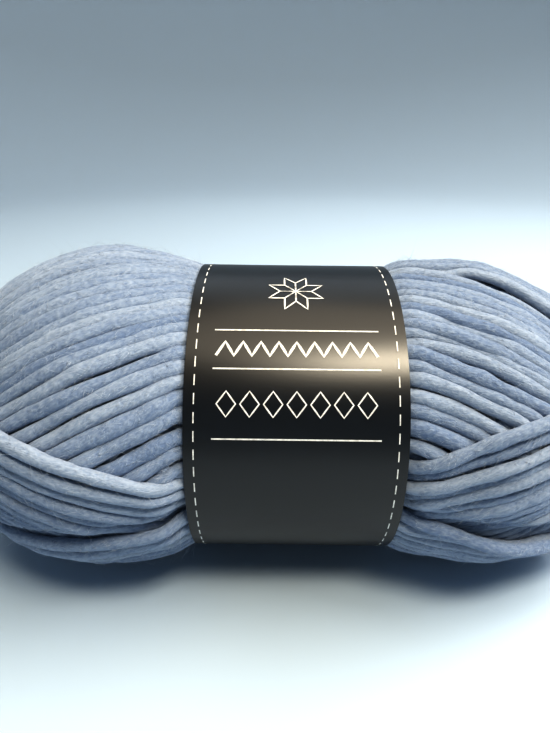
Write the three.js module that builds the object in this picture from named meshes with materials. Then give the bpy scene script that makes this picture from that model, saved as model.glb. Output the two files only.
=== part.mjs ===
// A machine-wound, centre-pull skein of thick single-ply roving yarn, lying on its side,
// with a card band round its waist.
// Millimetres, +Z up. X runs along the skein, -Y is its front, and it lies on z = 0.
import * as THREE from "three";

// Driving dimensions, in millimetres
const BAND_WIDTH = 52;
const BAND_RADIUS = 42.1;
const BAND_THICKNESS = 1;
const LAP = { width: 13, angle: 170, ramp: 1.2 };
const YARN_THICKNESS = 3.3;
const STRANDS_ROUND_WAIST = 76;
const CLEARANCE = 0.3;

// The soft skein sags under its own weight, so its sections are wider than they are high.
const SECTION_ACROSS = 1.03;
const SECTION_UP = 0.97;

// The right lobe is the smaller one, so the axis falls a little towards it.
const AXIS_HEIGHT = 43.4;
const AXIS_FALL = THREE.MathUtils.degToRad(0.7);

// The ends droop: how the middle of a section first climbs from the axis and then falls off,
// over the way from the band to the end
const DROOP = {
  left: { climb: 5, fall: 7.5 },
  right: { climb: -3.9, fall: 4.8 },
};

// Half of the skein's outline, from the band's edge to the bottom of the dimple in its end
const WAIST_RADIUS = BAND_RADIUS - BAND_THICKNESS - CLEARANCE;
const LOBE_START = BAND_WIDTH / 2 + CLEARANCE;
const HALF_LENGTH = 98;
const OUTLINE = [
  { along: LOBE_START, left: WAIST_RADIUS, right: WAIST_RADIUS },
  { along: 27.6, left: 42.3, right: 42.2 },
  { along: 30.5, left: 43.2, right: 42.3 },
  { along: 35, left: 44.3, right: 42.5 },
  { along: 42, left: 45.8, right: 43 },
  { along: 50, left: 46.7, right: 43.6 },
  { along: 58, left: 46, right: 42.5 },
  { along: 66, left: 44.3, right: 39.9 },
  { along: 74, left: 41.1, right: 37.1 },
  { along: 81, left: 37, right: 34.2 },
  { along: 87, left: 32.6, right: 31 },
  { along: 92, left: 27.8, right: 27 },
  { along: 95.5, left: 21.6, right: 21 },
  { along: 97.5, left: 15.6, right: 15.3 },
  { along: HALF_LENGTH, left: 11, right: 11 },
  { along: 97.3, left: 8, right: 8 },
  { along: 95.2, left: 5.6, right: 5.6 },
  { along: 93.2, left: 3, right: 3 },
  { along: 92.6, left: 0, right: 0 },
];

// The main twists: bundles of turns that were wound last and lie over the others.
// edge is the angle of a bundle's upper edge where it leaves the band, from the front upwards.
// climb says whether it climbs or falls round the skein on its way to the end.
// strands is its width, and rise is its height as a share of the yarn's thickness.
// held is how far from the band it still runs straight along, and turning is the radius at which
// its strands turn back at the end.
// A thinning bundle sinks into the layer below it, and any other one ends in a step.
const BUNDLES = [
  { lobe: "left", edge: 3.4, climb: 1, strands: 8, rise: 0.9, held: 9, turning: 18, thinning: true },
  { lobe: "left", edge: -13.5, climb: -1, strands: 10, rise: 0.5, held: 8, turning: 12, thinning: false },
  { lobe: "left", edge: 190, climb: -1, strands: 8, rise: 0.9, held: 1, turning: 19, thinning: true },
  { lobe: "right", edge: 11, climb: 1, strands: 8, rise: 0.85, held: 1, turning: 19, thinning: true },
  { lobe: "right", edge: -12.3, climb: -1, strands: 10, rise: 0.5, held: 14, turning: 8, thinning: false },
  { lobe: "right", edge: 126, climb: -1, strands: 6, rise: 0.8, held: 5, turning: 17, thinning: false },
];

// The edge of a bundle, in strands outside and inside of it, and where a thinning one starts to sink
const BUNDLE_STEP = { outside: 1.4, inside: 0.5 };
const THINNING_START = 1.5;

// The bundles are pressed into the layer near the band and merge with it round the dimple.
const PRESSED_LENGTH = 8;
const MERGED_RADIUS = 20;
const FREE_RADIUS = 30;
const STEEPEST = 1.1;

// Fineness of the meshes
const POINTS_ROUND = 96;
const RINGS_PER_LOBE = 28;
const RINGS_UNDER_BAND = 3;
const BAND_POINTS = 120;

const FULL_TURN = 2 * Math.PI;
const STRAND_ANGLE = FULL_TURN / STRANDS_ROUND_WAIST;
const { degToRad, euclideanModulo, smoothstep } = THREE.MathUtils;

// Rings of one lobe from the band outwards: the place along the axis, the radius, and the
// length of the path to each along the outline
function lobeRings(lobe) {
  const curve = new THREE.SplineCurve(
    OUTLINE.map((row) => new THREE.Vector2(row.along, row[lobe])),
  );
  const step = curve.getLength() / RINGS_PER_LOBE;
  return curve
    .getSpacedPoints(RINGS_PER_LOBE)
    .map((p, i) => ({ along: p.x, radius: p.y, path: i * step }));
}

// How far a bundle has turned round the axis at each ring. A taut strand on a round body keeps
// its radius times the sine of its slant, which is the radius where it turns back. Nearer to
// that radius than STEEPEST allows, it keeps its slant.
function turnedAngles(rings, { turning, held }) {
  let angle = 0;
  return rings.map((ring, i) => {
    if (i > 0) {
      const radius = Math.max(ring.radius, STEEPEST * turning);
      const slope = turning / Math.sqrt(radius ** 2 - turning ** 2);
      const freed = 1 - Math.exp(-ring.path / held);
      angle += (slope / radius) * freed * (ring.path - rings[i - 1].path);
    }
    return angle;
  });
}

// Height of one bundle over the layer below, by how many strands in from its edge
function bundleRise(bundle, depth) {
  const start = smoothstep(depth, -BUNDLE_STEP.outside, BUNDLE_STEP.inside);
  const end = bundle.thinning
    ? smoothstep(depth, THINNING_START, bundle.strands)
    : smoothstep(depth, bundle.strands - BUNDLE_STEP.inside, bundle.strands + BUNDLE_STEP.outside);
  return bundle.rise * YARN_THICKNESS * start * (1 - end);
}

// Height of all bundles of a lobe at ring i and an angle round the axis
function twistHeight(bundles, ring, i, angle) {
  const pressed = smoothstep(ring.path, 0, PRESSED_LENGTH);
  const merged = smoothstep(ring.radius, MERGED_RADIUS, FREE_RADIUS);
  const height = bundles.reduce((sum, bundle) => {
    const edge = degToRad(bundle.edge) + bundle.climb * bundle.turned[i];
    const below = euclideanModulo(edge - angle + Math.PI, FULL_TURN) - Math.PI;
    return sum + bundleRise(bundle, below / STRAND_ANGLE);
  }, 0);
  return pressed * merged * height;
}

// One ring of points round a middle that lies so far over the axis
function ringPoints(along, middle, radiusAt) {
  return Array.from({ length: POINTS_ROUND }, (_, k) => {
    const angle = (k / POINTS_ROUND) * FULL_TURN;
    const radius = radiusAt(angle);
    return new THREE.Vector3(
      along,
      -SECTION_ACROSS * radius * Math.cos(angle),
      middle + SECTION_UP * radius * Math.sin(angle),
    );
  });
}

function middleHeight(lobe, along) {
  const way = (along - LOBE_START) / (HALF_LENGTH - LOBE_START);
  return DROOP[lobe].climb * way - DROOP[lobe].fall * way ** 2;
}

// The rings of a lobe with its bundles raised, from the band outwards; the last is the dimple's
// bottom, a single point that closes the skin
function lobeSkin(lobe, side) {
  const rings = lobeRings(lobe);
  const bundles = BUNDLES.filter((bundle) => bundle.lobe === lobe).map((bundle) => ({
    ...bundle,
    turned: turnedAngles(rings, bundle),
  }));
  return rings.map((ring, i) => {
    const along = side * ring.along;
    const middle = middleHeight(lobe, ring.along);
    if (i === RINGS_PER_LOBE) return [new THREE.Vector3(along, 0, middle)];
    return ringPoints(along, middle, (angle) => ring.radius + twistHeight(bundles, ring, i, angle));
  });
}

// Closed skin over rings that run along +X between two end points
function skinOver(rings) {
  const positions = rings.flat().flatMap((p) => p.toArray());
  const last = rings.flat().length - 1;
  const index = [];
  for (let k = 0; k < POINTS_ROUND; k++) {
    const next = (k + 1) % POINTS_ROUND;
    index.push(0, 1 + k, 1 + next);
    for (let r = 0; r < rings.length - 3; r++) {
      const a = 1 + r * POINTS_ROUND;
      const b = a + POINTS_ROUND;
      index.push(a + k, b + k, b + next);
      index.push(a + k, b + next, a + next);
    }
    const end = last - POINTS_ROUND;
    index.push(end + k, last, end + next);
  }
  const geometry = new THREE.BufferGeometry();
  geometry.setAttribute("position", new THREE.Float32BufferAttribute(positions, 3));
  geometry.setIndex(index);
  return geometry;
}

// Turn and lift from the skein's own axis to the way that it lies
function lyingMatrix() {
  const lifted = new THREE.Matrix4().makeTranslation(0, 0, AXIS_HEIGHT);
  return lifted.multiply(new THREE.Matrix4().makeRotationY(AXIS_FALL));
}

// Each lobe is pressed flat where it rests on the surface.
function pressOnSurface(geometry) {
  const points = geometry.attributes.position;
  for (let i = 0; i < points.count; i++) points.setZ(i, Math.max(points.getZ(i), 0));
}

function woundYarn() {
  const left = lobeSkin("left", -1).reverse();
  const right = lobeSkin("right", 1);
  const middle = Array.from({ length: RINGS_UNDER_BAND }, (_, i) => {
    const share = (i + 1) / (RINGS_UNDER_BAND + 1);
    return ringPoints((2 * share - 1) * LOBE_START, 0, () => WAIST_RADIUS);
  });
  const geometry = skinOver([...left, ...middle, ...right]);
  geometry.applyMatrix4(lyingMatrix());
  pressOnSurface(geometry);
  geometry.computeVertexNormals();
  const wool = new THREE.MeshStandardMaterial({ color: 0xa9b6cf, roughness: 0.95, metalness: 0 });
  const mesh = new THREE.Mesh(geometry, wool);
  mesh.name = "wound_yarn";
  return mesh;
}

// Outline of the band's section, anticlockwise, with each radius grown by growAt(angle)
function bandOutline(radius, growAt) {
  return Array.from({ length: BAND_POINTS }, (_, k) => {
    const angle = (1 - k / BAND_POINTS) * FULL_TURN;
    const grown = radius + growAt(angle);
    return new THREE.Vector2(
      -SECTION_ACROSS * grown * Math.cos(angle),
      SECTION_UP * grown * Math.sin(angle),
    );
  });
}

// The card's two ends lap at the back, where it is twice as thick.
function lapHeight(angle) {
  const arc = Math.abs(angle - degToRad(LAP.angle)) * BAND_RADIUS;
  return BAND_THICKNESS * (1 - smoothstep(arc, LAP.width / 2 - LAP.ramp, LAP.width / 2 + LAP.ramp));
}

function paperBand() {
  const section = new THREE.Shape(bandOutline(BAND_RADIUS, lapHeight));
  section.holes.push(new THREE.Path(bandOutline(BAND_RADIUS - BAND_THICKNESS, () => 0)));
  const geometry = new THREE.ExtrudeGeometry(section, { depth: BAND_WIDTH, bevelEnabled: false });
  geometry.translate(0, 0, -BAND_WIDTH / 2);
  const axes = new THREE.Matrix4().makeBasis(
    new THREE.Vector3(0, 1, 0),
    new THREE.Vector3(0, 0, 1),
    new THREE.Vector3(1, 0, 0),
  );
  geometry.applyMatrix4(axes);
  const card = new THREE.MeshStandardMaterial({ color: 0x1b1c20, roughness: 0.4, metalness: 0 });
  const mesh = new THREE.Mesh(geometry, card);
  mesh.name = "paper_band";
  mesh.position.z = AXIS_HEIGHT;
  mesh.rotation.y = AXIS_FALL;
  return mesh;
}

const skein = new THREE.Group();
skein.add(woundYarn(), paperBand());

export default skein;
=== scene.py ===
"""Looks of a centre-pull skein of roving yarn with a card band. Metres, +Z up, -Y its front."""

import math

import bpy
import numpy as np
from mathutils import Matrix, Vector


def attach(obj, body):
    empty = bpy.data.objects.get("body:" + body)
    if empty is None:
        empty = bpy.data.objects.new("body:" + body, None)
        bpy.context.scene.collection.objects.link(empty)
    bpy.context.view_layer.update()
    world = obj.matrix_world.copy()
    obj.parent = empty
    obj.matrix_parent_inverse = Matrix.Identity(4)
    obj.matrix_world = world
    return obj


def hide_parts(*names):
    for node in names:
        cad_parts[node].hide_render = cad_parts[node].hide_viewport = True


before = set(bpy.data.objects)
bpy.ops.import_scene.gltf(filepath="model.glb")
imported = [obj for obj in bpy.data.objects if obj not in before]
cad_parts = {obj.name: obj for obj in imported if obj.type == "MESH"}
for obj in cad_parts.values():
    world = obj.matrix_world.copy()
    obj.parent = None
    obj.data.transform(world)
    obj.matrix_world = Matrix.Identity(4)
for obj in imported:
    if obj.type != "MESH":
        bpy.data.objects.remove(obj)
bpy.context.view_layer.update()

MM = 0.001
FULL_TURN = 2 * math.pi
WAVE_SPREAD = 0.6
FIRST_SEED = 11

# Form of the skein, the same as the frame's
BAND_WIDTH = 52 * MM
BAND_RADIUS = 42.1 * MM
SECTION_ACROSS = 1.03
SECTION_UP = 0.97
AXIS_HEIGHT = 43.4 * MM
AXIS_FALL = math.radians(0.7)
LOBE_START = 26.3 * MM
HALF_LENGTH = 98 * MM
STRAND_ANGLE = FULL_TURN / 76
DROOP = {
    "left": {"climb": 5 * MM, "fall": 7.5 * MM},
    "right": {"climb": -3.9 * MM, "fall": 4.8 * MM},
}
SIDE = {"left": -1, "right": 1}

# Half of the outline in millimetres, from the band's edge into the end hole, which goes deeper
# here than in the frame's solid
OUTLINE = {
    "along": [26.3, 27.6, 30.5, 35, 42, 50, 58, 66, 74, 81, 87, 92, 95.5, 97.5, 98, 97.3, 93, 84],
    "left": [40.8, 42.3, 43.2, 44.3, 45.8, 46.7, 46, 44.3, 41.1, 37, 32.6, 27.8, 21.6, 15.6, 11, 8,
             5.5, 4.5],
    "right": [40.8, 42.2, 42.3, 42.5, 43, 43.6, 42.5, 39.9, 37.1, 34.2, 31, 27, 21, 15.3, 11, 8,
              5.5, 4.5],
}
OUTLINE_SPOTS = 1500

# Bundles that were wound last. kind is "edge" where the bundle bounds the lens of strands that
# fall outwards, and "rider" where it crosses over the rest. Angles are in degrees from the front,
# and lengths in millimetres.
BUNDLES = [
    {"lobe": "left", "kind": "edge", "edge": 3.4, "climb": 1, "strands": 8, "rise": 0.9,
     "held": 9, "turning": 18, "thinning": True},
    {"lobe": "left", "kind": "rider", "edge": -13.5, "climb": -1, "strands": 10, "rise": 0.5,
     "held": 8, "turning": 12, "thinning": False},
    {"lobe": "left", "kind": "edge", "edge": 190, "climb": -1, "strands": 8, "rise": 0.9,
     "held": 1, "turning": 19, "thinning": True},
    {"lobe": "right", "kind": "edge", "edge": 11, "climb": 1, "strands": 8, "rise": 0.85,
     "held": 1, "turning": 19, "thinning": True},
    {"lobe": "right", "kind": "rider", "edge": -12.3, "climb": -1, "strands": 10, "rise": 0.5,
     "held": 14, "turning": 8, "thinning": False},
    {"lobe": "right", "kind": "edge", "edge": 126, "climb": -1, "strands": 6, "rise": 0.8,
     "held": 5, "turning": 17, "thinning": False, "opens": 19},
]
PRESSED_LENGTH = 8 * MM
MERGED_RADIUS = 20 * MM
FREE_RADIUS = 30 * MM
STEEPEST = 1.1

# The edges of a bundle, in strands: where its upper edge rises, where a thinning one starts to
# sink, and how far past its last strand a plain one ends. One that opens has so many strands more
# up to there, and opens over so long a stretch to either side of it, in millimetres.
UPPER_EDGE = (-1, 0.3)
THINNING_START = 1.5
LOWER_EDGE = (-0.3, 1)
UNOPENED_STRANDS = 6
OPENING_LENGTH = 5

# Radius in millimetres at which a strand turns back, by the angle at which it leaves the band
TURNING = {
    "left": [(-57, 12), (-14, 12), (2, 16), (12, 19.5), (30, 20.5), (60, 21), (140, 20.5),
             (165, 18.5), (215, 18), (280, 15)],
    "right": [(-57, 9), (-12, 8), (6, 14), (18, 17), (126, 17), (150, 18), (170, 19), (215, 18.5),
              (280, 15)],
}

# Angles at the band between neighbouring strands that leave it, where the front shows them. The
# others lie close, about so many degrees apart.
GROOVES = {
    "left": [-34.5, -27.5, -20.3, -13.5, -8.8, -4.1, 0.6, 5.4, 10.1, 16, 22.5, 29.2, 34.9, 40.1, 45,
             50.5, 55.3, 59.1, 62.5, 66.5, 70.4],
    "right": [-31.5, -26.7, -21.9, -17.1, -12.3, -7.5, -2.8, 2, 7.9, 13.8, 19.4, 26.2, 31.3, 37.1,
              42, 46.4, 50, 54.1, 58.2, 62.1, 65.9],
}
CLOSE_SPACING = 4.1

# Length over which strands still run straight out of the band: those that leave it, the riders,
# those that come back, and the first ones of the edge bundle
HELD_LEAVING = {"left": 1 * MM, "right": 5 * MM}
HELD_RIDER = {"left": 8 * MM, "right": 14 * MM}
HELD_RETURNING = 1 * MM
HELD_EDGE = {"left": 9 * MM, "right": 1 * MM}

# The first strands of the lens that run under the edge bundle from the start
LENS_MARGIN = 0.8

# How a layer goes under the next one, in strands below that one's edge: under the edge bundle and
# under the rider, and by how much a strand may miss the rider's edges and still be part of it
LOW_EDGE_COVER = (-0.6, 0.8)
RIDER_COVER = (-1.7, -0.2)
RIDER_MARGIN = 0.2

# Slants between which a strand goes over from leaving to coming back, and is spread out
RETURNING_SLANTS = (math.radians(65), math.radians(115))
SPREADING_SLANTS = (math.radians(55), math.radians(125))

# Angles from the front, in degrees, between which the lower front begins, the one at which it ends
# for strands that leave and for those that come back, and how soon after
FRONT_START = (-75, -55)
FRONT_END = {"leaving": -7, "returning": 10}
FRONT_FADE = 10

# Angles from the front, in degrees, between which the part where the turns lie apart begins, and
# between which it ends
LOOSE_START = (-80, -50)
LOOSE_END = (22, 52)

# How much deeper the first strands of the edge bundle lie, one after the other, in millimetres
EDGE_DEPTHS = {"left": (0, 0.1, 0.9, 0.6, 1.2), "right": (0, 1.8, 0, 1.6, 0.2, 1.2)}

# The yarn: a soft single strand, pressed wide where the turns lie close, and rounder in the lower
# front, where they lie apart
STRAND_WIDTH = 4.1 * MM
LOOSE_WIDTH = 3.25 * MM
STRAND_HEIGHT = 3.3 * MM
ROOM_RANGE = (1, 1.35)
ROOM_FILLED = 0.7
LAYER_STEP = 3.0 * MM
TUBE_SIDES = 10
LUMP_LENGTH = 4 * MM
LUMP_SHARE = 0.05
TONE_SPREAD = 0.5
PATTERN_SHIFT = 0.37
TUBE_RINGS = 100
HIDDEN_DENSITY = 0.3
WINDING_STEP = 0.4 * MM
WINDING_STEPS = 640
LEAST_RADIUS = 2 * MM
STIFFNESS_LENGTH = 6 * MM
HIDDEN_UNDER_BAND = 6 * MM
FLOOR_GAP = 0.1 * MM
RESTING_SHARE = 0.42

# Chance in the winding. The spreads of the angles are in strands; sways, swells and sags are waves,
# each with its length and reach in millimetres, or the share of the section. Near the end hole the
# strands crowd, and lie up to so many of their heights deeper.
LEAVING_SPREAD = 0.08
RETURN_SPREAD = 0.1
TURNING_SPREAD = 0.3 * MM
SWAYS = ((26, 0.35), (9, 0.25))
SWAY_RADIUS = 10 * MM
SWELLS = ((20, 0.11), (5, 0.08))
SAG_LENGTH = 22 * MM
SAG = 0.6
CROWDED_RADII = (20 * MM, 36 * MM)
CROWDED_DEPTH = 1.2
WIDTH_RANGE = (0.94, 1.06)

# The right lobe's top rider is a slack turn that stands off the rest
SLACK = {"lobe": "right", "lift": 2.6 * MM, "start": 4 * MM, "end": 30 * MM}

# Earlier turns that show inside the end holes, in layers: how many, the radius at which they turn
# and how deep they lie; they come out from under the outer turns where the lobe is this wide
ROSETTE = [
    {"strands": 18, "turning": 13.5 * MM, "depth": 2.4 * MM},
    {"strands": 14, "turning": 9.5 * MM, "depth": 4.6 * MM},
    {"strands": 9, "turning": 6 * MM, "depth": 7.5 * MM},
    {"strands": 7, "turning": 3 * MM, "depth": 10 * MM},
]
ROSETTE_RADIUS = 31 * MM
ROSETTE_RISE = (20 * MM, 28 * MM)
ROSETTE_SHIFT = 0.25
ROSETTE_SPREAD = 1.6 * MM
ROSETTE_SWELL = 0.08
ROSETTE_RINGS = 34
ROSETTE_STEPS = 400

# The skin under the strands, its ridges in the end hole and the plug of inner turns that closes it
CORE_RINGS = 90
CORE_SIDES = 144
CORE_DEPTH = 5.6 * MM
CORE_HOLE_DEPTH = 6 * MM
CORE_HOLE_RADII = (12 * MM, 22 * MM)
CORE_MOST_SUNK = 0.8
CORE_RIDGES = 9
CORE_RIDGE_RADII = (18 * MM, 28 * MM)
CORE_SLANT = 3.2 * MM
CORE_RIDGE_HEIGHT = 1.6 * MM
CORE_PLUG_DEPTH = 4 * MM
CORE_PLUG_SHARES = (0.2, 0.4, 0.6, 0.8, 0.995)

# Loose fibres round the strands: how many a lobe has, their size, and the places of their bends
FIBRES = {
    "down": {"count": 33000, "length": (0.7 * MM, 2.4 * MM), "radius": 0.045 * MM, "bends": (0, 1),
             "spread": 0.8, "climb": (0.05, 1.2)},
    "fluff": {"count": 21000, "length": (0.9 * MM, 2.8 * MM), "radius": 0.03 * MM, "bends": (0, 1),
              "spread": 1, "climb": (0.7, 2.4)},
    "hairs": {"count": 3800, "length": (3 * MM, 8 * MM), "radius": 0.03 * MM, "bends": (0, 0.5, 1),
              "spread": 0.6, "climb": (0.1, 1.1)},
}

# Where they start: on strands that lie on top by so much, so far round the strand from its top,
# and at so much of its width and height from its middle. They fall back by a share of their climb,
# curl sideways and get thinner up to the last bend.
FIBRE_TOPNESS = 0.6
FIBRE_TURN = 1.9
FIBRE_ROOT = 0.46
FIBRE_FALL = (0.1, 0.9)
FIBRE_CURL = 0.4
FIBRE_TAPER = 0.6

# The card and the pale lines printed on it; along the band and round it, in millimetres from the
# middle of the width and from the front
CARD_THICKNESS = 0.4 * MM
CARD_ROWS = 260
CARD_COLUMNS = 25
CARD_RIPPLE = 0.05 * MM
RIPPLES_AROUND = 3
RIPPLE_ALONG = (5, 0.8)
CARD_EDGE_ANGLE = math.radians(40)
LAP_MIDDLE = math.radians(170)
LAP_WIDTH = 13 * MM
LAP_STEP = 0.45 * MM
LAP_EASE = 3 * MM
LINE_WIDTH = 0.4
LINE_STEP = 1.5
DASH_INSET = 2.4
DASH_PITCH = 4.4
DASH_LENGTH = 2.6
DASH_WIDTH = 0.32
RULE_HEIGHTS = (40.5, 30.5, 14)
RULE_REACH = 19.5
ZIGZAG_HEIGHTS = (33.7, 37.3)
ZIGZAG_PITCH = 2.1
ZIGZAG_POINTS = 19
ZIGZAG_WIDTH = 0.7
DIAMONDS = 7
DIAMOND_HEIGHT = 22.2
DIAMOND_PITCH = 5.4
DIAMOND_REACH = (2.2, 3)
STAR_LOZENGES = 8
STAR_HEIGHT = 54
STAR_REACH = 9.5
STAR_INNER = 0.42
STAR_TIP = 0.78
STAR_WIDTH = 0.45
INK_LIFT = 0.03 * MM

# Strands that lie apart and leave a dark gap: whether they leave the band (-1) or come back to it
# (1), the angle of the gap at the band in degrees, the radius at which they turn, how far those
# below and those above it are pushed away, and the stretch of the lobe over which it is open, in
# millimetres
PARTINGS = {
    "left": [(-1, 50.5, 21, 0.05, 0.05, (0, 62)), (-1, 45, 20.5, 0.1, 0.1, (0, 26)),
             (-1, 34.9, 20, 0.1, 0.1, (0, 24)), (-1, 29.2, 19.5, 0.3, 0.3, (3, 30)),
             (-1, 10.1, 18.5, 0.2, 0.4, (-4, 24)), (-1, 62.5, 21, 0.2, 0.2, (10, 60)),
             (1, -0.9, 18, 0.3, 0.1, (4, 70)), (1, -5.2, 18, 0.5, 0.2, (4, 70))],
    "right": [(-1, 50, 17, 0.5, 0.7, (3, 62)), (-1, 42, 17, 0.1, 0.1, (0, 50)),
              (-1, 31.3, 17, 0.1, 0.1, (0, 30)), (-1, 19.4, 17, 0.2, 0.5, (-4, 26)),
              (-1, 94.5, 17, 0.2, 3.0, (15, 80)), (1, 6.8, 19, 0.6, 0.2, (2, 60)),
              (1, 2.5, 19, 0.7, 0.2, (4, 60)), (1, -1.8, 19, 0.4, 0.2, (8, 55))],
}
PARTING_REACH = 3
PARTING_OPENS = 7 * MM
PARTING_CLOSES = 12 * MM

# Camera: the photograph's own view, from the front and 30 degrees above
VIEW_ELEVATION = math.radians(30)
VIEW_YAW = math.radians(1.76)
VIEW_DISTANCE = 164 * MM
FOCAL_PIXELS = 530.2
AIM_LEFT_PIXELS = 16.3
AIM_UP_PIXELS = 33.8
IMAGE_HEIGHT = 733
SENSOR = 36.0
CLIP_START = 0.005

# The floor, flat round the skein and rising to a wall far off, in metres
FLOOR_MIDDLE = 0.4
SWEEP_START = 0.75
SWEEP_RADIUS = 0.7
SWEEP_HEIGHT = 1.8
SWEEP_RINGS = 12
SWEEP_SIDES = 96

# Soft lamps, all above the skein, three of them warm and the one behind slightly cool: their places
# and sizes in metres, and powers in watts. The faint light from all round is slightly cool too,
# and the floor is plain and pale.
LAMPS = [
    {"name": "right_lamp", "at": (0.68, 0.055, 0.72), "size": (0.6, 0.3), "power": 9.2,
     "colour": (1, 0.94, 0.85)},
    {"name": "top_lamp", "at": (0.11, -0.055, 0.95), "size": (0.88, 0.73), "power": 6.2,
     "colour": (1, 0.89, 0.72)},
    {"name": "front_lamp", "at": (0.24, -0.36, 0.84), "size": (0.29, 0.19), "power": 6.3,
     "colour": (1, 0.90, 0.72)},
    {"name": "back_lamp", "at": (0.0, 0.62, 0.72), "size": (1.0, 0.5), "power": 1.9,
     "colour": (0.90, 0.96, 1)},
]
WORLD_COLOUR = (0.78, 0.88, 1, 1)
WORLD_STRENGTH = 0.05
FLOOR_COLOUR = (0.52, 0.62, 0.73, 1)

# Gamma of the view, which deepens the picture's shades and changes no material
CONTRAST = 0.68


def add_camera():
    data = bpy.data.cameras.new("camera")
    data.sensor_width = SENSOR
    data.lens = FOCAL_PIXELS / IMAGE_HEIGHT * SENSOR
    data.clip_start = CLIP_START
    camera = bpy.data.objects.new("camera", data)
    bpy.context.scene.collection.objects.link(camera)
    middle = Vector((0, 0, AXIS_HEIGHT))
    level = VIEW_DISTANCE * math.cos(VIEW_ELEVATION)
    away = Vector((-level * math.sin(VIEW_YAW), -level * math.cos(VIEW_YAW),
                   VIEW_DISTANCE * math.sin(VIEW_ELEVATION)))
    forward = -away.normalized()
    right = forward.cross(Vector((0, 0, 1))).normalized()
    up = right.cross(forward)
    aim = forward - right * (AIM_LEFT_PIXELS / FOCAL_PIXELS) + up * (AIM_UP_PIXELS / FOCAL_PIXELS)
    camera.location = middle + away
    camera.rotation_euler = aim.to_track_quat("-Z", "Y").to_euler()
    bpy.context.scene.camera = camera


def link_mesh(name, points, faces, material, uv=None, tone=None):
    """A mesh object from arrays: corners in metres, faces as quads or triangles, and the looks"""
    mesh = bpy.data.meshes.new(name)
    mesh.from_pydata(points.tolist(), [], faces if isinstance(faces, list) else faces.tolist())
    mesh.polygons.foreach_set("use_smooth", np.ones(len(mesh.polygons), dtype=bool))
    corners = np.empty(len(mesh.loops), dtype=np.int32)
    mesh.loops.foreach_get("vertex_index", corners)
    if uv is not None:
        layer = mesh.uv_layers.new(name="UVMap")
        layer.data.foreach_set("uv", uv[corners].astype(np.float32).ravel())
    if tone is not None:
        shades = mesh.attributes.new("tone", "FLOAT", "POINT")
        shades.data.foreach_set("value", tone.astype(np.float32))
    mesh.materials.append(material)
    mesh.validate()
    piece = bpy.data.objects.new(name, mesh)
    bpy.context.scene.collection.objects.link(piece)
    return piece


def smoothstep(value, low, high):
    """0 up to low, 1 from high on, and a soft step between"""
    share = np.clip((value - low) / (high - low), 0, 1)
    return share * share * (3 - 2 * share)


def wave(rng, count, length, wavelength):
    """Rows of smooth random waves with values of about -1 to 1, as functions of the length"""
    knots = int(math.ceil(length / wavelength)) + 4  # so that no spot reaches the last one
    heights = rng.normal(0, WAVE_SPREAD, (count, knots))

    def at(place):
        scaled = np.clip(place / wavelength, 0, knots - 2.001)
        low = scaled.astype(int)
        share = scaled - low
        share = share * share * (3 - 2 * share)
        rows = np.arange(count)[:, None]
        return heights[rows, low] * (1 - share) + heights[rows, low + 1] * share

    return at


def on_axis(x, radius, angle, middle=0):
    """Points round the skein's own axis, which falls a little and lies at its height. middle is how
    far the middle of the section lies above the axis."""
    y = -SECTION_ACROSS * radius * np.cos(angle)
    z = middle + SECTION_UP * radius * np.sin(angle)
    fall_cos, fall_sin = math.cos(AXIS_FALL), math.sin(AXIS_FALL)
    height = AXIS_HEIGHT - x * fall_sin + z * fall_cos
    return np.stack([x * fall_cos + z * fall_sin, y, height], -1)


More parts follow.
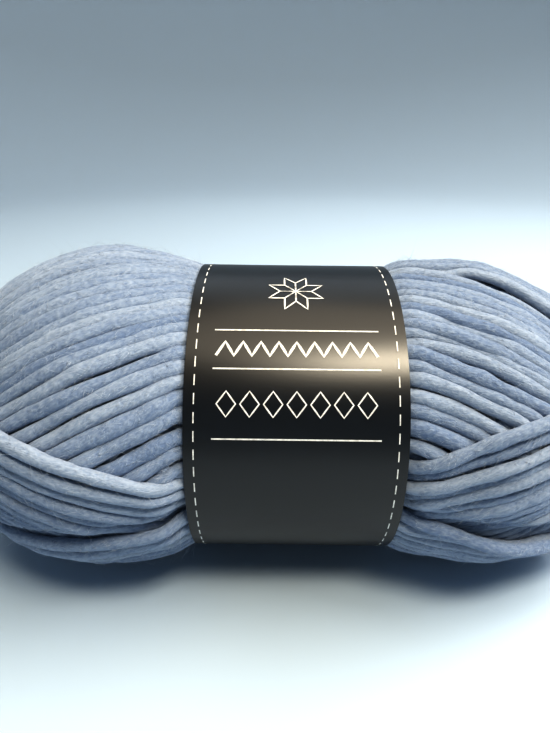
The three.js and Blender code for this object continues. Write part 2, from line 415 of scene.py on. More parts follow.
class Lobe:
    """One lobe's body: its outline as functions of the path from the band, and its bundles"""

    def __init__(self, name):
        self.name = name
        self.side = SIDE[name]
        rows = np.stack([OUTLINE["along"], OUTLINE[name]], -1) * MM
        spots = np.linspace(0, len(rows) - 1, OUTLINE_SPOTS)
        low = np.minimum(spots.astype(int), len(rows) - 2)
        share = (spots - low)[:, None]
        before = rows[np.maximum(low - 1, 0)]
        start = rows[low]
        end = rows[low + 1]
        after = rows[np.minimum(low + 2, len(rows) - 1)]
        leave = (end - before) / 2
        arrive = (after - start) / 2
        curve = ((2 * start - 2 * end + leave + arrive) * share ** 3
                 + (3 * end - 3 * start - 2 * leave - arrive) * share ** 2 + leave * share + start)
        self.path = np.concatenate([[0], np.cumsum(np.hypot(*np.diff(curve, axis=0).T))])
        self.along, self.radius = curve.T
        self.growth = np.gradient(self.radius, self.path)
        self.advance = np.gradient(self.along, self.path)
        self.bundles = [{**row, "turned": self.turned(row["turning"] * MM, row["held"] * MM)}
                        for row in BUNDLES if row["lobe"] == name]
        grooves = GROOVES[name]
        rest = grooves[0] + 360 - grooves[-1]
        others = np.linspace(grooves[-1], grooves[0] + 360, round(rest / CLOSE_SPACING) + 1)
        bounds = np.radians(np.concatenate([grooves[:-1], others]))
        self.slots = (bounds[1:] + bounds[:-1]) / 2
        self.room = np.diff(bounds) / STRAND_ANGLE
        self.count = len(self.slots)
        self.edges = {row["climb"]: row for row in self.bundles if row["kind"] == "edge"}
        self.rider = next(row for row in self.bundles if row["kind"] == "rider")

    def radius_at(self, path):
        return np.interp(path, self.path, self.radius)

    def turned(self, turning, held):
        """How far strands of one turning radius have turned round the axis along the path"""
        safe = np.maximum(self.radius, STEEPEST * turning)
        rate = turning / np.sqrt(safe ** 2 - turning ** 2) / safe
        freed = 1 - np.exp(-self.path / held)
        return np.concatenate([[0], np.cumsum((rate * freed)[1:] * np.diff(self.path))])

    def below_edge(self, bundle, path, angle):
        """How many strands a spot lies below a bundle's upper edge"""
        turned = np.interp(path, self.path, bundle["turned"])
        edge = math.radians(bundle["edge"]) + bundle["climb"] * turned
        return ((edge - angle + math.pi) % FULL_TURN - math.pi) / STRAND_ANGLE

    def rise(self, path, angle):
        """Height of the bundles over the layer below"""
        height = 0
        for bundle in self.bundles:
            below = self.below_edge(bundle, path, angle)
            start = smoothstep(below, *UPPER_EDGE)
            strands = bundle["strands"]
            if bundle["thinning"]:
                end = smoothstep(below, THINNING_START, strands)
            else:
                end = smoothstep(below, strands + LOWER_EDGE[0], strands + LOWER_EDGE[1])
            if "opens" in bundle:
                opened = smoothstep(path, (bundle["opens"] - OPENING_LENGTH) * MM,
                                    (bundle["opens"] + OPENING_LENGTH) * MM)
                unopened = smoothstep(below, THINNING_START, strands + UNOPENED_STRANDS)
                end = opened * end + (1 - opened) * unopened
            height = height + bundle["rise"] * STRAND_HEIGHT * start * (1 - end)
        pressed = smoothstep(path, 0, PRESSED_LENGTH)
        merged = smoothstep(self.radius_at(path), MERGED_RADIUS, FREE_RADIUS)
        return pressed * merged * height

    def place(self, path, angle, lift):
        """Points that stand so far over the body's outline, where the skein lies"""
        outward = np.interp(path, self.path, self.advance)
        endward = -np.interp(path, self.path, self.growth)
        under_band = path < 0
        outward = np.where(under_band, 1, outward)
        endward = np.where(under_band, 0, endward)
        along = np.interp(path, self.path, self.along) + np.minimum(path, 0) + endward * lift
        radius = self.radius_at(path) + outward * lift
        way = np.maximum(along - LOBE_START, 0) / (HALF_LENGTH - LOBE_START)
        middle = DROOP[self.name]["climb"] * way - DROOP[self.name]["fall"] * way ** 2
        return on_axis(self.side * along, radius, angle, middle)


def wind(lobe, start_angles, turning, start_path, steps=WINDING_STEPS):
    """Strands that leave the band, turn back near the end hole and come back to the band.

    Each follows the shortest way over the round body, so that its radius times the sine of its
    slant stays the radius at which it turns. Returns the path, angle and slant at each step."""
    path = np.full(len(start_angles), start_path)
    angle = start_angles.copy()
    slant = np.arcsin(np.clip(turning / lobe.radius_at(path), 0, 1))
    history = []
    step = WINDING_STEP

    def rates(path, angle, slant):
        radius = np.maximum(lobe.radius_at(path), LEAST_RADIUS)
        growth = np.where(path > 0, np.interp(path, lobe.path, lobe.growth), 0)
        leaving = slant < math.pi / 2
        free = np.where(leaving, HELD_LEAVING[lobe.name], HELD_RETURNING)
        first = np.where(leaving, HELD_RIDER[lobe.name], HELD_EDGE[lobe.name])
        held = free + (first - free) * near_front(angle, leaving)
        freed = 1 - np.exp(-np.maximum(path, 0) / held)
        return np.cos(slant), -freed * np.sin(slant) / radius, -growth * np.sin(slant) / radius

    for _ in range(steps):
        history.append((path, angle, slant))
        d_path, d_angle, d_slant = rates(path, angle, slant)
        half = (path + d_path * step / 2, angle + d_angle * step / 2, slant + d_slant * step / 2)
        d_path, d_angle, d_slant = rates(*half)
        path = path + d_path * step
        angle = angle + d_angle * step
        slant = slant + d_slant * step
    return tuple(np.stack(column, 1) for column in zip(*history))


def near_front(angle, leaving):
    """1 on the lower front, where the first bundles are held straight, and 0 elsewhere"""
    turned = (angle + math.pi / 2) % FULL_TURN - math.pi / 2
    upper = np.where(leaving, math.radians(FRONT_END["leaving"]),
                     math.radians(FRONT_END["returning"]))
    return smoothstep(turned, *map(math.radians, FRONT_START)) * (
        1 - smoothstep(turned, upper, upper + math.radians(FRONT_FADE)))


def resample(values, places, spots):
    """Each row of values, given at places, read at other spots"""
    return np.stack([np.interp(s, p, v) for v, p, s in zip(values, places, spots)])


def tubes(centres, normals, widths, heights, tones, rng):
    """Lumpy tubes of flattened round section along rows of centres"""
    count, rings = centres.shape[:2]
    sides = TUBE_SIDES
    lengths = np.linalg.norm(np.diff(centres, axis=1), axis=-1)
    run = np.concatenate([np.zeros((count, 1)), np.cumsum(lengths, axis=1)], axis=1)
    tangents = np.gradient(centres, axis=1)
    tangents /= np.linalg.norm(tangents, axis=-1, keepdims=True)
    across = np.cross(tangents, normals)
    across /= np.linalg.norm(across, axis=-1, keepdims=True)
    upward = np.cross(across, tangents)
    turn = np.arange(sides) / sides * FULL_TURN + math.pi
    sine, cosine = np.sin(turn)[None, None, :, None], np.cos(turn)[None, None, :, None]
    around = (across[:, :, None] * sine * widths[:, :, None, None]
              + upward[:, :, None] * cosine * heights[:, :, None, None]) / 2
    lumps = np.ones((count, rings, sides))
    for lobes in (1, 2, 3):
        for phase in (0, math.pi / 2):
            heights_along = wave(rng, count, run.max(), LUMP_LENGTH)(run)
            lumps += LUMP_SHARE * heights_along[:, :, None] * np.cos(lobes * turn + phase)
    points = centres[:, :, None] + around * lumps[..., None]
    points[..., 2] = np.maximum(points[..., 2], FLOOR_GAP)
    number = np.arange(count * rings * sides).reshape(count, rings, sides)
    following = np.roll(number, -1, axis=2)
    quads = np.stack([number[:, :-1], following[:, :-1], following[:, 1:], number[:, 1:]], -1)
    run = run + np.arange(count)[:, None] * PATTERN_SHIFT
    uv = np.stack([np.broadcast_to((turn - math.pi) / FULL_TURN, number.shape),
                   np.broadcast_to(run[:, :, None] / MM, number.shape)], -1)
    tone = np.broadcast_to(tones[:, None, None], number.shape)
    return points.reshape(-1, 3), quads.reshape(-1, 4), uv.reshape(-1, 2), tone.reshape(-1)


def turning_radii(lobe, rng, start_angles):
    """Radius at which each strand turns back"""
    angles, radii = np.array(TURNING[lobe.name]).T
    radii = np.interp(start_angles, np.radians(angles), radii * MM, period=FULL_TURN)
    return radii + rng.normal(0, TURNING_SPREAD, len(start_angles))


def spread_returns(lobe, angle, slant, rng):
    """Turns each strand a little near the end, so that all come back evenly spaced and one of them
    is the first of the edge bundle"""
    last = angle[:, -1]
    order = np.argsort(last)
    spacing = FULL_TURN / lobe.count
    slots = np.arange(lobe.count) * spacing
    shift = np.mean(last[order] - slots)
    first = math.radians(lobe.edges[1]["edge"]) - spacing / 2
    shift += (first - shift + spacing / 2) % spacing - spacing / 2
    wanted = np.empty(lobe.count)
    wanted[order] = slots + shift
    wanted += rng.normal(0, RETURN_SPREAD * spacing, lobe.count)
    share = smoothstep(slant, *SPREADING_SLANTS)
    return angle + (wanted - last)[:, None] * share


def inside_lens(lobe, angles, margin=0):
    """Whether strands that leave the band at these angles lie between its two edges, and so many
    strands over the low one"""
    low = math.radians(lobe.edges[1]["edge"]) + margin * STRAND_ANGLE
    high = math.radians(lobe.edges[-1]["edge"])
    return (angles - low) % FULL_TURN < (high - low) % FULL_TURN


def topness(lobe, path, angle, slant, out_angles, back_angles):
    """1 where a strand lies on top, and 0 where it runs under the next layer"""
    low_edge = smoothstep(lobe.below_edge(lobe.edges[1], path, angle), *LOW_EDGE_COVER)
    high_edge = smoothstep(lobe.below_edge(lobe.edges[-1], path, angle), *UPPER_EDGE)
    rider_depth = lobe.below_edge(lobe.rider, path, angle)
    strands = lobe.rider["strands"]
    rider_cover = smoothstep(rider_depth, *RIDER_COVER) * (
        1 - smoothstep(rider_depth, strands + LOWER_EDGE[0], strands + LOWER_EDGE[1]))
    start = lobe.below_edge(lobe.rider, 0, out_angles)
    rides = (start > -RIDER_MARGIN) & (start < strands - RIDER_MARGIN)
    out = inside_lens(lobe, out_angles, LENS_MARGIN)[:, None] * (1 - low_edge)
    out = np.where(rides[:, None], 1, out)
    back = np.maximum(~inside_lens(lobe, back_angles)[:, None], 1 - high_edge)
    back = back * (1 - rider_cover)
    returned = smoothstep(slant, *RETURNING_SLANTS)
    return out * (1 - returned) + back * returned


def part(lobe, path, angle, slant):
    """Sideways shift of the strands that lie beside a parting"""
    shift = np.zeros_like(angle)
    for climb, gap, turning, down, up, (start, end) in PARTINGS[lobe.name]:
        family = slant < math.pi / 2 if climb < 0 else slant > math.pi / 2
        held = HELD_LEAVING[lobe.name] if climb < 0 else HELD_RETURNING
        turned = np.interp(path, lobe.path, lobe.turned(turning * MM, held))
        line = math.radians(gap) + climb * turned
        away = ((angle - line + math.pi) % FULL_TURN - math.pi) / STRAND_ANGLE
        window = smoothstep(path, start * MM, start * MM + PARTING_OPENS) * (
            1 - smoothstep(path, end * MM - PARTING_CLOSES, end * MM))
        push = np.where(away > 0, up, -down) * MM
        push = push * np.exp(-np.abs(away) / PARTING_REACH)
        shift += family * window * push / lobe.radius_at(path)
    return shift


def eased(values):
    """Rows of values or points with the sharp bends taken out, as a soft strand has none"""
    half = int(STIFFNESS_LENGTH / WINDING_STEP / 2)
    padded = np.concatenate([values[:, :1]] * half + [values] + [values[:, -1:]] * half, axis=1)
    total = np.cumsum(np.concatenate([padded[:, :1] * 0, padded], axis=1), axis=1)
    width = 2 * half + 1
    return (total[:, width:] - total[:, :-width]) / width


def lobe_strands(lobe, rng):
    """Centres, upward directions and sections of all strands of a lobe"""
    count = lobe.count
    out_angles = lobe.slots + rng.normal(0, LEAVING_SPREAD * STRAND_ANGLE, count)
    turning = turning_radii(lobe, rng, out_angles)
    path, angle, slant = wind(lobe, out_angles, turning, -HIDDEN_UNDER_BAND)
    ends = np.argmax((path < -HIDDEN_UNDER_BAND) & (slant > math.pi / 2), axis=1)
    for row, end in enumerate(ends):
        path[row, end:] = path[row, end]
        angle[row, end:] = angle[row, end]
        slant[row, end:] = slant[row, end]
    angle = spread_returns(lobe, angle, slant, rng)
    back_angles = angle[:, -1]
    run = np.broadcast_to(np.arange(path.shape[1]) * WINDING_STEP, path.shape)
    over = topness(lobe, path, angle, slant, out_angles, back_angles)
    angle = angle + part(lobe, path, angle, slant)
    length = run[0, -1]
    sway = 0
    for wavelength, reach in SWAYS:
        sway = sway + wave(rng, count, length, wavelength * MM)(run) * reach * MM
    swaying = smoothstep(path, 0, PRESSED_LENGTH)
    angle = angle + sway / np.maximum(lobe.radius_at(path), SWAY_RADIUS) * swaying
    crowd = 1 - smoothstep(lobe.radius_at(path), *CROWDED_RADII)
    depth = LAYER_STEP * (1 - over)
    depth = depth + crowd * rng.uniform(0, CROWDED_DEPTH * STRAND_HEIGHT, count)[:, None]
    depth = depth + np.abs(wave(rng, count, length, SAG_LENGTH)(run)) * SAG * MM
    depth = depth + edge_depths(lobe, back_angles)[:, None] * smoothstep(slant, *RETURNING_SLANTS)
    lift = lobe.rise(path, angle) - STRAND_HEIGHT / 2 - depth
    if SLACK["lobe"] == lobe.name:
        top = np.nonzero(lobe.slots < math.radians(lobe.rider["edge"]))[0][-1]
        lift[top] += SLACK["lift"] * smoothstep(path[top], SLACK["start"], SLACK["end"]) * over[top]
    spots = visible_spots(over, ends)
    centres, normals = follow(lobe, path, angle, lift, run, spots)
    swell = 1
    for wavelength, share in SWELLS:
        swell = swell + share * wave(rng, count, length, wavelength * MM)(spots)
    loose = looseness(resample(angle, run, spots))
    widths = (STRAND_WIDTH + (LOOSE_WIDTH - STRAND_WIDTH) * loose) * swell
    widths = widths * rng.uniform(*WIDTH_RANGE, count)[:, None]
    widths = widths * np.clip(lobe.room, *ROOM_RANGE)[:, None] ** ROOM_FILLED
    return centres, normals, widths, STRAND_HEIGHT * swell, resample(over, run, spots)


def looseness(angle):
    """1 on the lower front, where the turns lie apart, and 0 over the top and behind"""
    turned = np.degrees((angle + math.pi / 2) % FULL_TURN - math.pi / 2)
    return smoothstep(turned, *LOOSE_START) * (1 - smoothstep(turned, *LOOSE_END))


def edge_depths(lobe, back_angles):
    """How much deeper each strand comes back to the band, by its place in the edge bundle"""
    extra = np.zeros(lobe.count)
    place = (math.radians(lobe.edges[1]["edge"]) - back_angles) % FULL_TURN / FULL_TURN * lobe.count
    for number, depth in enumerate(EDGE_DEPTHS[lobe.name]):
        extra[np.argmin(np.abs(place - number - 0.5))] = depth * MM
    return extra


def follow(lobe, path, angle, lift, run, spots):
    """Centres and upward directions along strands, at the wanted spots of their run"""
    centres = eased(lobe.place(path, angle, lift))
    normals = lobe.place(path, angle, lift + MM) - lobe.place(path, angle, lift - MM)
    centres = np.stack([resample(centres[..., axis], run, spots) for axis in range(3)], -1)
    normals = np.stack([resample(normals[..., axis], run, spots) for axis in range(3)], -1)
    normals /= np.linalg.norm(normals, axis=-1, keepdims=True)
    centres[..., 2] = np.maximum(centres[..., 2], STRAND_HEIGHT * RESTING_SHARE)
    return centres, normals


def rosette_strands(lobe, rng):
    """Turns of the earlier layers where they bend back inside the end hole"""
    start_path = lobe.path[np.nonzero(lobe.radius > ROSETTE_RADIUS)[0][-1]]
    rows = []
    for layer in ROSETTE:
        count = layer["strands"]
        angles = np.arange(count) + rng.uniform(-ROSETTE_SHIFT, ROSETTE_SHIFT, count)
        angles = angles / count * FULL_TURN
        turning = layer["turning"] + rng.uniform(-ROSETTE_SPREAD, ROSETTE_SPREAD, count)
        path, angle, slant = wind(lobe, angles, turning, start_path, steps=ROSETTE_STEPS)
        depth = layer["depth"] + rng.uniform(0, ROSETTE_SPREAD, count)[:, None]
        ends = np.argmax((path < start_path) & (slant > math.pi / 2), axis=1)
        # A turn that is wound too tightly doesn't come back in so many steps, and is left out.
        back = ends > 0
        path, angle, depth, ends = path[back], angle[back], depth[back], ends[back]
        run = np.broadcast_to(np.arange(path.shape[1]) * WINDING_STEP, path.shape)
        under = LAYER_STEP * smoothstep(lobe.radius_at(path), *ROSETTE_RISE)
        lift = -STRAND_HEIGHT / 2 - depth - under
        spots = np.linspace(0, 1, ROSETTE_RINGS)[None, :] * (ends * WINDING_STEP)[:, None]
        rows.append(follow(lobe, path, angle, lift, run, spots))
    centres, normals = (np.concatenate(column) for column in zip(*rows))
    swell = 1 + ROSETTE_SWELL * rng.normal(0, WAVE_SPREAD, centres.shape[:2])
    return centres, normals, LOOSE_WIDTH * swell, STRAND_HEIGHT * swell


def visible_spots(over, ends):
    """Where each strand gets its rings: close together where it shows, and wide apart where it
    runs under others"""
    spots = []
    for row, end in zip(over, ends):
        density = HIDDEN_DENSITY + (1 - HIDDEN_DENSITY) * row[:end + 1]
        share = np.concatenate([[0], np.cumsum((density[1:] + density[:-1]) / 2)])
        wanted = np.linspace(0, share[-1], TUBE_RINGS)
        spots.append(np.interp(wanted, share, np.arange(end + 1) * WINDING_STEP))
    return np.array(spots)


def fibres(strands, rng, kind):
    """Loose fibres that start on the outer strands, as lines with so many bends"""
    centres, normals, widths, heights, over = strands
    count = kind["count"]
    rows, rings = np.nonzero(over[:, 1:-1] > FIBRE_TOPNESS)
    pick = rng.integers(0, len(rows), count)
    row, ring = rows[pick], rings[pick] + 1
    along = centres[row, ring + 1] - centres[row, ring - 1]
    spacing = np.linalg.norm(along, axis=-1, keepdims=True) / 2
    along /= 2 * spacing
    normal = normals[row, ring]
    across = np.cross(along, normal)
    across /= np.linalg.norm(across, axis=-1, keepdims=True)
    normal = np.cross(across, along)
    turn = rng.uniform(-FIBRE_TURN, FIBRE_TURN, count)[:, None]
    outward = np.sin(turn) * across + np.cos(turn) * normal
    root = (centres[row, ring] + along * rng.uniform(-1, 1, count)[:, None] * spacing
            + (np.sin(turn) * across * widths[row, ring][:, None]
               + np.cos(turn) * normal * heights[row, ring][:, None]) * FIBRE_ROOT)
    length = rng.uniform(*kind["length"], count)[:, None, None]
    side = np.sign(root[:, :1])
    away = np.where(along[:, :1] * side > 0, 1.0, -1.0)
    near_band = np.abs(root[:, :1]) < LOBE_START + length[:, 0]
    heading = np.where(near_band, away, rng.choice([-1.0, 1.0], count)[:, None]) * along
    sideways = np.cross(outward, along)
    climb = rng.uniform(*kind["climb"], count)[:, None]
    leaving = heading + outward * climb + sideways * rng.normal(0, kind["spread"], count)[:, None]
    leaving /= np.linalg.norm(leaving, axis=-1, keepdims=True)
    bend = (-outward * climb * rng.uniform(*FIBRE_FALL, count)[:, None]
            + sideways * rng.normal(0, FIBRE_CURL, count)[:, None])
    steps = np.array(kind["bends"])[None, :, None]
    lines = root[:, None] + length * (leaving[:, None] * steps + bend[:, None] * steps ** 2)
    lines[..., 2] = np.maximum(lines[..., 2], FLOOR_GAP)
    lines[..., 0] = np.where(np.abs(lines[..., 0]) < LOBE_START, side * LOBE_START, lines[..., 0])
    return spikes(lines, leaving, outward, kind["radius"])


def spikes(lines, leaving, outward, radius):
    """Slender three-sided spikes along lines, each closed by its tip"""
    count, levels = lines.shape[:2]
    side = np.cross(leaving, outward)
    side /= np.linalg.norm(side, axis=-1, keepdims=True)
    other = np.cross(leaving, side)
    corners = np.arange(3) / 3 * FULL_TURN
    ring = (side[:, None] * np.cos(corners)[None, :, None]
            + other[:, None] * np.sin(corners)[None, :, None])
    taper = np.linspace(1, FIBRE_TAPER, levels - 1)[None, :, None, None] * radius
    body = lines[:, :-1, None] + ring[:, None] * taper
    points = np.concatenate([body.reshape(count, -1, 3), lines[:, -1:]], axis=1)
    faces = [(2, 1, 0)]
    for level in range(levels - 2):
        for k in range(3):
            low, high = 3 * level + k, 3 * level + (k + 1) % 3
            faces += [(low, high, high + 3), (low, high + 3, low + 3)]
    last = 3 * (levels - 2)
    faces += [(last + k, last + (k + 1) % 3, last + 3) for k in range(3)]
    faces = np.array(faces)[None] + (np.arange(count) * points.shape[1])[:, None, None]
    return points.reshape(-1, 3), faces.reshape(-1, 3)


def core_skin(lobe):
    """Skin a little under the outer strands, so that no light shines through between them; in the
    end hole it takes the form of the slanting inner turns, which close the hole as a rosette"""
    rings = np.linspace(-HIDDEN_UNDER_BAND, lobe.path[-1], CORE_RINGS)
    angles = np.arange(CORE_SIDES) / CORE_SIDES * FULL_TURN
    path, angle = np.meshgrid(rings, angles, indexing="ij")
    radius = lobe.radius_at(path)
    sunk = CORE_DEPTH + CORE_HOLE_DEPTH * (1 - smoothstep(radius, *CORE_HOLE_RADII))
    sunk = np.minimum(sunk, radius * CORE_MOST_SUNK)
    ridge = np.abs(np.sin(CORE_RIDGES * angle + path / CORE_SLANT)) * CORE_RIDGE_HEIGHT
    ridge = ridge * (1 - smoothstep(radius, *CORE_RIDGE_RADII))
    points = lobe.place(path, angle, ridge - sunk)
    inward = np.array([-SIDE[lobe.name] * CORE_PLUG_DEPTH, 0, 0])
    middle = points[-1].mean(axis=0) + inward
    plug = [points[-1] + (middle - points[-1]) * share for share in CORE_PLUG_SHARES]
    points = np.concatenate([points, plug])
    points[..., 2] = np.maximum(points[..., 2], FLOOR_GAP)
    return points


def grid_faces(rings, count):
    """Quads between rings of so many points, each closed round"""
    number = np.arange(rings * count).reshape(rings, count)
    following = np.roll(number, -1, axis=1)
    return np.stack([number[:-1], following[:-1], following[1:], number[1:]], -1).reshape(-1, 4)


class Nodes:
    """Small helper to lay out a material's nodes"""

    def __init__(self, name):
        self.material = bpy.data.materials.new(name)
        self.material.use_nodes = True
        self.tree = self.material.node_tree
        self.shader = self.tree.nodes["Principled BSDF"]

    def add(self, kind, values=None, **settings):
        node = self.tree.nodes.new(kind)
        for key, value in settings.items():
            setattr(node, key, value)
        for key, value in (values or {}).items():
            if isinstance(value, bpy.types.NodeSocket):
                self.tree.links.new(value, node.inputs[key])
            else:
                node.inputs[key].default_value = value
        return node

    def math(self, operation, *values):
        return self.add("ShaderNodeMath", dict(enumerate(values)), operation=operation).outputs[0]

    def noise(self, place, scale, detail=2.0, roughness=0.5):
        return self.add("ShaderNodeTexNoise", {"Vector": place, "Scale": scale, "Detail": detail,
                                               "Roughness": roughness}).outputs[0]

    def stretch(self, place, scales):
        node = self.add("ShaderNodeVectorMath", {0: place, 1: scales}, operation="MULTIPLY")
        return node.outputs[0]

    def colour(self, share, *stops):
        """Base colour by a share between two stops, each with its position and colour"""
        ramp = self.add("ShaderNodeValToRGB", {0: share})
        for element, (position, colour) in zip(ramp.color_ramp.elements, stops):
            element.position = position
            element.color = (*colour, 1)
        self.tree.links.new(ramp.outputs[0], self.shader.inputs["Base Color"])

    def bump(self, height, strength, distance):
        node = self.add("ShaderNodeBump", {"Height": height, "Strength": strength,
                                           "Distance": distance})
        self.tree.links.new(node.outputs[0], self.shader.inputs["Normal"])

    def surface(self, **values):
        """Constant values on the shader's own sockets, and the finished material"""
        for key, value in values.items():
            self.shader.inputs[key.replace("_", " ")].default_value = value
        return self.material


def wool_material(name, light, dark):
    """Soft single-ply wool: fibres that run nearly along the strand, in slightly mixed shades"""
    nodes = Nodes(name)
    uv = nodes.add("ShaderNodeUVMap", uv_map="UVMap")
    around, along, _ = nodes.add("ShaderNodeSeparateXYZ", {0: uv.outputs[0]}).outputs
    # The strand has hardly any twist, so the fibres turn once round it in about 60 mm.
    turn = nodes.math("ADD", around, nodes.math("MULTIPLY", along, 1 / 60))
    angle = nodes.math("MULTIPLY", turn, FULL_TURN)
    spot = nodes.add("ShaderNodeCombineXYZ", {0: nodes.math("COSINE", angle),
                                              1: nodes.math("SINE", angle), 2: along}).outputs[0]
    grain = nodes.noise(nodes.stretch(spot, (5.5, 5.5, 0.8)), 1.0, 3.0, 0.62)
    lumps = nodes.noise(nodes.stretch(spot, (2.0, 2.0, 0.8)), 1.0)
    tone = nodes.add("ShaderNodeAttribute", attribute_name="tone").outputs["Fac"]
    mixed = nodes.math("MULTIPLY_ADD", lumps, 0.55, nodes.math("MULTIPLY", grain, 0.45))
    nodes.colour(nodes.math("MULTIPLY_ADD", tone, 0.16, mixed), (0.30, dark), (0.72, light))
    nodes.bump(nodes.math("MULTIPLY_ADD", lumps, 1.0, grain), 0.65, 0.5 * MM)
    return nodes.surface(Roughness=0.92, Specular_IOR_Level=0.2, Sheen_Weight=0.35,
                         Sheen_Roughness=0.5, Sheen_Tint=(0.75, 0.85, 1.0, 1))


def fuzz_material():
    """Single fibres that stand off the wool, paler than the mass"""
    nodes = Nodes("wool_fibres")
    place = nodes.add("ShaderNodeTexCoord").outputs["Object"]
    nodes.colour(nodes.noise(place, 90.0), (0.35, (0.40, 0.46, 0.56)), (0.65, (0.64, 0.69, 0.76)))
    return nodes.surface(Roughness=0.7, Specular_IOR_Level=0.3)


def card_material():
    """Printed card: satin black with a faint grain"""
    nodes = Nodes("card_black")
    place = nodes.add("ShaderNodeTexCoord").outputs["Object"]
    grain = nodes.noise(place, 1800.0)
    cloud = nodes.noise(place, 60.0, 3.0)
    nodes.colour(cloud, (0, (0.001, 0.002, 0.004)), (1, (0.003, 0.004, 0.006)))
    rough = nodes.add("ShaderNodeMapRange", {0: cloud, 3: 0.31, 4: 0.35})
    nodes.tree.links.new(rough.outputs[0], nodes.shader.inputs["Roughness"])
    nodes.bump(grain, 0.12, 0.05 * MM)
    return nodes.surface(Specular_IOR_Level=0.75, Coat_Weight=0.1, Coat_Roughness=0.3)


def ink_material():
    """Pale ink, a little worn"""
    nodes = Nodes("pale_ink")
    place = nodes.add("ShaderNodeTexCoord").outputs["Object"]
    nodes.colour(nodes.noise(place, 900.0), (0.3, (0.56, 0.56, 0.55)), (0.6, (0.80, 0.80, 0.78)))
    return nodes.surface(Roughness=0.5)


def floor_material():
    """Plain pale paper"""
    return Nodes("pale_floor").surface(Base_Color=FLOOR_COLOUR, Roughness=0.8)


def dress(piece, node):
    """Fixes a piece to the part's one body, and hides the frame's solid that it stands for"""
    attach(piece, "root")
    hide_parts(node)
    return piece


def add_yarn():
    wool = wool_material("roving_wool", light=(0.365, 0.425, 0.525), dark=(0.18, 0.24, 0.36))
    # A darker, bluer copy of the wool for the skin under the strands: painted shade for the deeper
    # layers that show in the gaps
    painted_shade_wool = wool_material("roving_wool_painted_shade", light=(0.2, 0.3, 0.45), dark=(0.105, 0.18, 0.315))
    fuzz = fuzz_material()
    for seed, name in enumerate(("left", "right")):
        lobe = Lobe(name)
        rng = np.random.default_rng(FIRST_SEED + seed)
        strands = lobe_strands(lobe, rng)
        points, quads, uv, tone = tubes(*strands[:4], rng.normal(0, TONE_SPREAD, lobe.count), rng)
        dress(link_mesh(name + "_strands", points, quads, wool, uv, tone), "wound_yarn")
        inner = rosette_strands(lobe, rng)
        tones = rng.normal(0, TONE_SPREAD, len(inner[0]))
        points, quads, uv, tone = tubes(*inner, tones, rng)
        dress(link_mesh(name + "_inner_turns", points, quads, wool, uv, tone), "wound_yarn")
        # The skin gets the darker, bluer wool, which is painted shade, not a colour of its own
        skin = core_skin(lobe)
        flat = skin.reshape(-1, 3)
        uv = np.stack([np.arange(len(flat)) % CORE_SIDES / CORE_SIDES * CORE_RIDGES,
                       np.arange(len(flat)) // CORE_SIDES * 1.0], -1)
        faces = grid_faces(*skin.shape[:2])
        piece = link_mesh(name + "_core", flat, faces, painted_shade_wool, uv, np.zeros(len(flat)))
        dress(piece, "wound_yarn")
        for kind, row in FIBRES.items():
            points, triangles = fibres(strands, rng, row)
            dress(link_mesh(f"{name}_{kind}", points, triangles, fuzz), "wound_yarn")


def add_band():
    """The card: one strip bent round the waist, with its outer end lapped over its inner end"""
    lap = LAP_WIDTH / BAND_RADIUS
    turn = np.linspace(0, FULL_TURN + lap, CARD_ROWS)
    angle = LAP_MIDDLE - lap / 2 - turn + lap
    eased_step = LAP_STEP * smoothstep(turn, lap, lap + LAP_EASE / BAND_RADIUS)
    outer = BAND_RADIUS - LAP_STEP + eased_step
    columns = np.linspace(-0.5, 0.5, CARD_COLUMNS)
    rate, shift = RIPPLE_ALONG
    ripple = (CARD_RIPPLE * np.sin(RIPPLES_AROUND * angle)[:, None]
              * np.cos(columns * rate + shift)[None, :])
    face = outer[:, None] + ripple
    radius = np.concatenate([face, (face - CARD_THICKNESS)[:, ::-1]], axis=1)
    along = np.concatenate([columns, columns[::-1]]) * BAND_WIDTH
    points = on_axis(np.broadcast_to(along, radius.shape), radius, angle[:, None])
    count = radius.shape[1]
    quads = grid_faces(CARD_ROWS, count)
    spans = np.arange(CARD_COLUMNS - 1)
    caps = [edge + np.stack([spans, spans + 1, count - 2 - spans, count - 1 - spans], -1)
            for edge in (0, (CARD_ROWS - 1) * count)]
    quads = np.concatenate([quads, *caps])
    piece = link_mesh("card_band", points.reshape(-1, 3), quads, card_material())
    piece.data.set_sharp_from_angle(angle=CARD_EDGE_ANGLE)
    dress(piece, "paper_band")


def ink_line(route, closed=False, width=LINE_WIDTH):
    """A printed line along a route over the card, as a strip that follows its curve"""
    route = np.array(route, dtype=float)
    if closed:
        route = np.concatenate([route, route[:1]])
    spots = [route[:1]]
    for start, end in zip(route[:-1], route[1:]):
        parts = max(1, math.ceil(np.hypot(*(end - start)) / LINE_STEP))
        spots.append(start + (end - start) * (np.arange(1, parts + 1) / parts)[:, None])
    line = np.concatenate(spots)
    heading = np.gradient(line, axis=0)
    if closed:
        heading[0] = heading[-1] = line[1] - line[-2]
    heading /= np.linalg.norm(heading, axis=1, keepdims=True)
    side = np.stack([-heading[:, 1], heading[:, 0]], -1) * width / 2
    strip = np.concatenate([line + side, line - side])
    count = len(line)
    low = np.arange(count - 1)
    return strip, np.stack([low, low + 1, low + 1 + count, low + count], -1)


def star(middle, reach):
    """The traditional star of lozenges, as closed outlines"""
    inner, outer = reach * STAR_INNER, reach * STAR_TIP
    step = FULL_TURN / STAR_LOZENGES
    for k in range(STAR_LOZENGES):
        main = (k + 0.5) * step
        sides = [main - step / 2, main + step / 2]
        a, b = [(middle[0] + inner * math.cos(t), middle[1] + inner * math.sin(t)) for t in sides]
        tip = (middle[0] + outer * math.cos(main), middle[1] + outer * math.sin(main))
        yield [middle, a, tip, b]


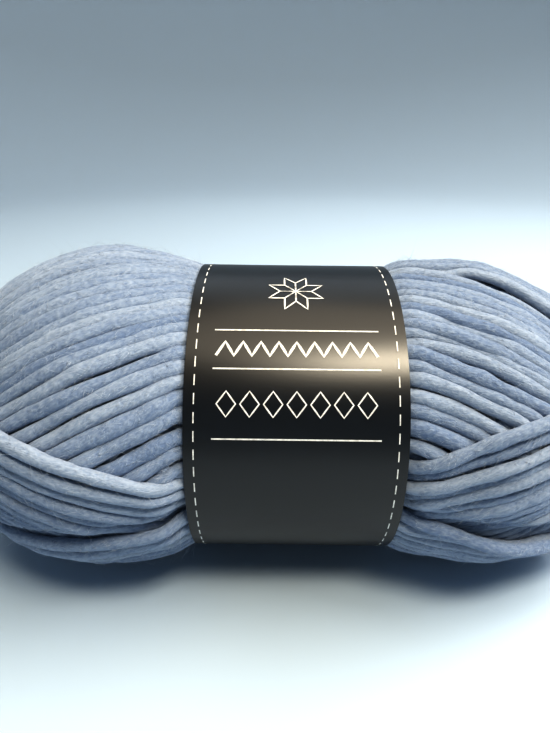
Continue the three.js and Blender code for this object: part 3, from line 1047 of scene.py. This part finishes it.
def print_lines():
    """All the lines of the print, as routes along and round the band"""
    half = BAND_WIDTH / MM / 2
    edge = half - DASH_INSET
    around = FULL_TURN * BAND_RADIUS / MM
    dashes = int(around / DASH_PITCH)
    for side in (-edge, edge):
        for k in range(dashes):
            start = k * around / dashes
            yield ink_line([(side, start), (side, start + DASH_LENGTH)], width=DASH_WIDTH)
    for height in RULE_HEIGHTS:
        yield ink_line([(-RULE_REACH, height), (RULE_REACH, height)])
    zigzag = [((k - ZIGZAG_POINTS // 2) * ZIGZAG_PITCH, ZIGZAG_HEIGHTS[k % 2])
              for k in range(ZIGZAG_POINTS)]
    yield ink_line(zigzag, width=ZIGZAG_WIDTH)
    across, up = DIAMOND_REACH
    for k in range(DIAMONDS):
        x, y = (k - DIAMONDS // 2) * DIAMOND_PITCH, DIAMOND_HEIGHT
        yield ink_line([(x - across, y), (x, y + up), (x + across, y), (x, y - up)], closed=True)
    for outline in star((0, STAR_HEIGHT), STAR_REACH):
        yield ink_line(outline, closed=True, width=STAR_WIDTH)


def add_print():
    points, quads, start = [], [], 0
    for strip, faces in print_lines():
        points.append(strip)
        quads.append(faces + start)
        start += len(strip)
    flat = np.concatenate(points) * MM
    radius = BAND_RADIUS + INK_LIFT + CARD_RIPPLE
    points = on_axis(flat[:, 0], radius, flat[:, 1] / BAND_RADIUS)
    piece = link_mesh("card_print", points, np.concatenate(quads), ink_material())
    dress(piece, "paper_band")


def add_stage():
    """A pale round floor that rises all round in one sweep, and soft studio light"""
    bend = np.linspace(0, math.pi / 2, SWEEP_RINGS)
    reach = np.concatenate([[FLOOR_MIDDLE], SWEEP_START + SWEEP_RADIUS * np.sin(bend),
                            [SWEEP_START + SWEEP_RADIUS]])
    height = np.concatenate([[0], SWEEP_RADIUS - SWEEP_RADIUS * np.cos(bend), [SWEEP_HEIGHT]])
    turn = np.arange(SWEEP_SIDES) / SWEEP_SIDES * FULL_TURN
    points = np.stack([reach[:, None] * np.cos(turn), reach[:, None] * np.sin(turn),
                       np.broadcast_to(height[:, None], (len(reach), SWEEP_SIDES))], -1)
    points = points.reshape(-1, 3)
    middle = len(points)
    points = np.concatenate([points, [[0, 0, 0]]])
    quads = grid_faces(len(reach), SWEEP_SIDES)[:, ::-1].tolist()
    fan = [[middle, k, (k + 1) % SWEEP_SIDES] for k in range(SWEEP_SIDES)]
    link_mesh("backdrop", points, quads + fan, floor_material())
    world = bpy.data.worlds.new("studio")
    world.use_nodes = True
    background = world.node_tree.nodes["Background"]
    background.inputs["Color"].default_value = WORLD_COLOUR
    background.inputs["Strength"].default_value = WORLD_STRENGTH
    bpy.context.scene.world = world
    aim = Vector((0, 0, AXIS_HEIGHT))
    for row in LAMPS:
        data = bpy.data.lights.new(row["name"], "AREA")
        data.shape = "RECTANGLE"
        data.size, data.size_y = row["size"]
        data.energy = row["power"]
        data.color = row["colour"]
        lamp = bpy.data.objects.new(row["name"], data)
        lamp.location = row["at"]
        lamp.rotation_euler = (aim - lamp.location).to_track_quat("-Z", "Y").to_euler()
        bpy.context.scene.collection.objects.link(lamp)
    bpy.context.scene.view_settings.view_transform = "Standard"
    bpy.context.scene.view_settings.gamma = CONTRAST


add_camera()
add_stage()
add_yarn()
add_band()
add_print()
